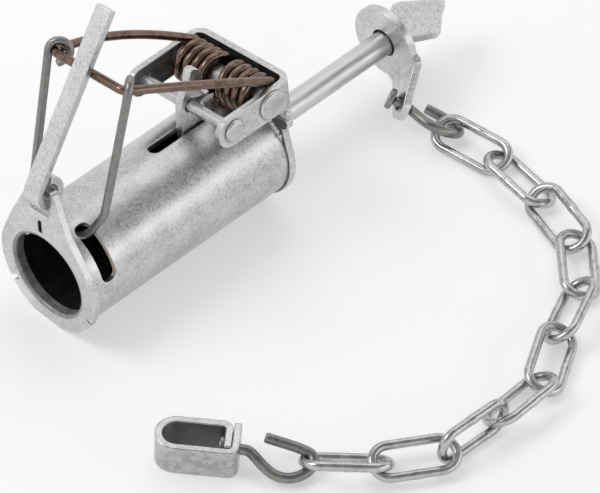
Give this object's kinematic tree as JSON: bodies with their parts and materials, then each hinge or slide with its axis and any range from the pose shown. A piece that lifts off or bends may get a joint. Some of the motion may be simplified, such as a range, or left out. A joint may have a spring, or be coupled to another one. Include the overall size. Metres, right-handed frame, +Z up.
{
  "type": "raccoon trap",
  "caption": "Short steel tube foothold trap with a spring bow and stirrup, a dog and trigger, a stake rod and a swivelled chain.",
  "frame": {"origin": "on the floor, under the tube's axis, at the front plate's front face", "axes": "+X from the mouth along the tube and the stake rod, +Z up from the floor, the chain lies on the -Y side"},
  "size_m": [0.2104, 0.1778, 0.1105],
  "materials": {
    "zinc_plate": "dull galvanised, mottled",
    "zinc_chain": "bright zinc plate",
    "grey_wire": "dull grey",
    "spring_wire": "brown oiled",
    "pin_steel": "dull galvanised"
  },
  "bodies": {
    "trap": {"tube": "zinc_plate", "front_plate": "zinc_plate", "end_plate": "zinc_plate", "bracket": "zinc_plate", "trigger_pin": "pin_steel", "spring_pin": "pin_steel", "spring_coils": "spring_wire", "rod": "zinc_plate", "spade": "zinc_plate", "swivel_washer": "zinc_plate"},
    "bow_body": {"bow": "spring_wire"},
    "stirrup_body": {"stirrup": "grey_wire"},
    "dog_body": {"dog": "zinc_plate"},
    "trigger_body": {"trigger": "zinc_plate"},
    "swivel_bracket_body": {"swivel_bracket": "zinc_plate"},
    "upper_hook_body": {"upper_hook": "grey_wire"},
    "link_1_body": {"link_1": "zinc_chain"},
    "link_2_body": {"link_2": "zinc_chain"},
    "link_3_body": {"link_3": "zinc_chain"},
    "link_4_body": {"link_4": "zinc_chain"},
    "link_5_body": {"link_5": "zinc_chain"},
    "link_6_body": {"link_6": "zinc_chain"},
    "link_7_body": {"link_7": "zinc_chain"},
    "link_8_body": {"link_8": "zinc_chain"},
    "link_9_body": {"link_9": "zinc_chain"},
    "link_10_body": {"link_10": "zinc_chain"},
    "lower_hook_body": {"lower_hook": "grey_wire"},
    "box_swivel_body": {"box_swivel": "zinc_plate"}
  },
  "joints": [
    {"name": "bow_hinge", "type": "hinge", "parent": "trap", "child": "bow_body", "pos_m": [0.0876, 0.0055, 0.05159], "axis": [0, -0.9833, 0.1822], "range_deg": [0, 15]},
    {"name": "stirrup_hinge", "type": "hinge", "parent": "bow_body", "child": "stirrup_body", "pos_m": [0.0303, 0.01252, 0.08945], "axis": [0, -0.9833, 0.1822], "range_deg": [-11, 0]},
    {"name": "dog_hinge", "type": "hinge", "parent": "trap", "child": "dog_body", "pos_m": [0.00436, 0.00634, 0.0561], "axis": [0, -0.9833, 0.1822], "range_deg": [0, 125]},
    {"name": "trigger_hinge", "type": "hinge", "parent": "trap", "child": "trigger_body", "pos_m": [0.07, 0.0055, 0.05159], "axis": [0, -0.9833, 0.1822], "range_deg": [-15, 12]},
    {"name": "swivel_turn", "type": "hinge", "parent": "trap", "child": "swivel_bracket_body", "pos_m": [0.163, 0, 0.0219], "axis": [1, 0, 0], "range_deg": [-70, 45]},
    {"name": "upper_hook_spin", "type": "hinge", "parent": "swivel_bracket_body", "child": "upper_hook_body", "pos_m": [0.1532, -0.0184, 0.01065], "axis": [0.443, -0.842, -0.308], "range_deg": [-25, 25]},
    {"name": "link_1_swing", "type": "hinge", "parent": "upper_hook_body", "child": "link_1_body", "pos_m": [0.1605, -0.0365, 0.0042], "axis": [0, 0, 1], "range_deg": [-11, 18]},
    {"name": "link_2_swing", "type": "hinge", "parent": "link_1_body", "child": "link_2_body", "pos_m": [0.1634, -0.056, 0.0039], "axis": [0, 0, -1], "range_deg": [-13, 8]},
    {"name": "link_3_swing", "type": "hinge", "parent": "link_2_body", "child": "link_3_body", "pos_m": [0.1609, -0.0787, 0.0047], "axis": [0, 0, 1], "range_deg": [-14, 5]},
    {"name": "link_4_swing", "type": "hinge", "parent": "link_3_body", "child": "link_4_body", "pos_m": [0.1549, -0.1007, 0.0043], "axis": [0, 0, -1], "range_deg": [-18, 5]},
    {"name": "link_5_swing", "type": "hinge", "parent": "link_4_body", "child": "link_5_body", "pos_m": [0.1395, -0.1176, 0.0055], "axis": [0, 0, 1], "range_deg": [-10, 16]},
    {"name": "link_6_swing", "type": "hinge", "parent": "link_5_body", "child": "link_6_body", "pos_m": [0.1186, -0.1267, 0.0048], "axis": [0, 0, -1], "range_deg": [-17, 12]},
    {"name": "link_7_swing", "type": "hinge", "parent": "link_6_body", "child": "link_7_body", "pos_m": [0.0987, -0.1379, 0.0059], "axis": [0, 0, 1], "range_deg": [-18, 14]},
    {"name": "link_8_swing", "type": "hinge", "parent": "link_7_body", "child": "link_8_body", "pos_m": [0.0759, -0.1386, 0.0077], "axis": [0, 0, -1], "range_deg": [-18, 5]},
    {"name": "link_9_swing", "type": "hinge", "parent": "link_8_body", "child": "link_9_body", "pos_m": [0.0531, -0.1377, 0.0054], "axis": [0, 0, 1], "range_deg": [-9, 11]},
    {"name": "link_10_swing", "type": "hinge", "parent": "link_9_body", "child": "link_10_body", "pos_m": [0.0338, -0.1255, 0.0052], "axis": [0, 0, -1], "range_deg": [-18, 4]},
    {"name": "lower_hook_swing", "type": "hinge", "parent": "link_10_body", "child": "lower_hook_body", "pos_m": [0.0163, -0.1078, 0.0052], "axis": [-0.5828, -0.5756, 0.5736], "range_deg": [-4, 45]},
    {"name": "box_spin", "type": "hinge", "parent": "lower_hook_body", "child": "box_swivel_body", "pos_m": [0.0029, -0.0903, 0.007], "axis": [0.6338, -0.7688, -0.085], "continuous": true}
  ],
  "couplings": [
    {"joint": "stirrup_hinge", "follows": "bow_hinge", "ratio": -0.68}
  ]
}
